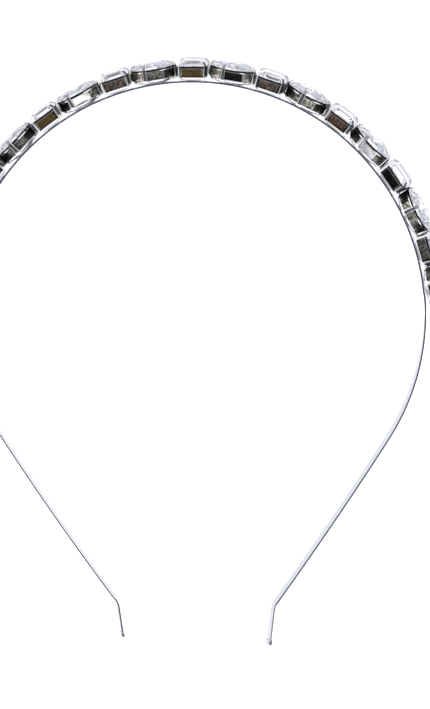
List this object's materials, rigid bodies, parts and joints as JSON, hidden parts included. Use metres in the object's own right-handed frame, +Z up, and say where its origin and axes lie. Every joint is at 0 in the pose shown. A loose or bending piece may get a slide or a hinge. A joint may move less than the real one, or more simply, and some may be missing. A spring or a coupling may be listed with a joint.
{
  "type": "crystal headband",
  "caption": "Slim springy metal headband lying on its side, with a row of claw-set clear stones, ovals and cut-corner oblongs in turn, and capped tips.",
  "frame": {"origin": "centre of the bottom of the bounding box, on the surface that the headband lies on", "axes": "+Z straight up, across the width of the band; +Y from the tips towards the apex; +X across the head"},
  "size_m": [0.1378, 0.1565, 0.0116],
  "materials": {
    "silver_metal": "polished silver-coloured plating",
    "cap_metal": "polished silver-coloured plating",
    "oval_crystal": "clear brilliant-cut glass with a foiled back",
    "oblong_crystal": "clear step-cut glass with a foiled back"
  },
  "bodies": {
    "root": {"band_frame": "silver_metal", "oval_stone_1": "oval_crystal", "oval_stone_2": "oval_crystal", "oval_stone_3": "oval_crystal", "oval_stone_4": "oval_crystal", "oval_stone_5": "oval_crystal", "oval_stone_6": "oval_crystal", "oval_stone_7": "oval_crystal", "oval_stone_8": "oval_crystal", "oval_stone_9": "oval_crystal", "oval_stone_10": "oval_crystal", "oblong_stone_1": "oblong_crystal", "oblong_stone_2": "oblong_crystal", "oblong_stone_3": "oblong_crystal", "oblong_stone_4": "oblong_crystal", "oblong_stone_5": "oblong_crystal", "oblong_stone_6": "oblong_crystal", "oblong_stone_7": "oblong_crystal", "oblong_stone_8": "oblong_crystal", "oblong_stone_9": "oblong_crystal", "end_cap_left": "cap_metal", "end_cap_right": "cap_metal"}
  },
  "joints": []
}
